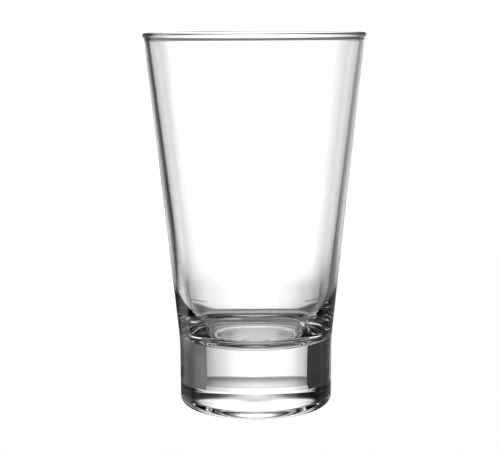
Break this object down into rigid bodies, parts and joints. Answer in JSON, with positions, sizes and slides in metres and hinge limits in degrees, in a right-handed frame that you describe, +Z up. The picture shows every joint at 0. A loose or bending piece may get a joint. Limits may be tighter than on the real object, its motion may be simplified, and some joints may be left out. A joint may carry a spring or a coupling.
{
  "type": "pint glass",
  "caption": "Tall clear drinking glass: straight tapered bowl on a thick solid base, with a rounded rim, a dished inner floor and a flat ring foot round a shallow hollow.",
  "frame": {"origin": "centre of the foot ring, on the surface that the glass stands on", "axes": "+Z up along the axis of the glass towards the rim; X and Y are equivalent because the glass is round"},
  "size_m": [0.0888, 0.0888, 0.15],
  "materials": {
    "clear_glass": "clear and colourless, smooth fire-polished surface"
  },
  "bodies": {
    "root": {"glass_body": "clear_glass"}
  },
  "joints": []
}
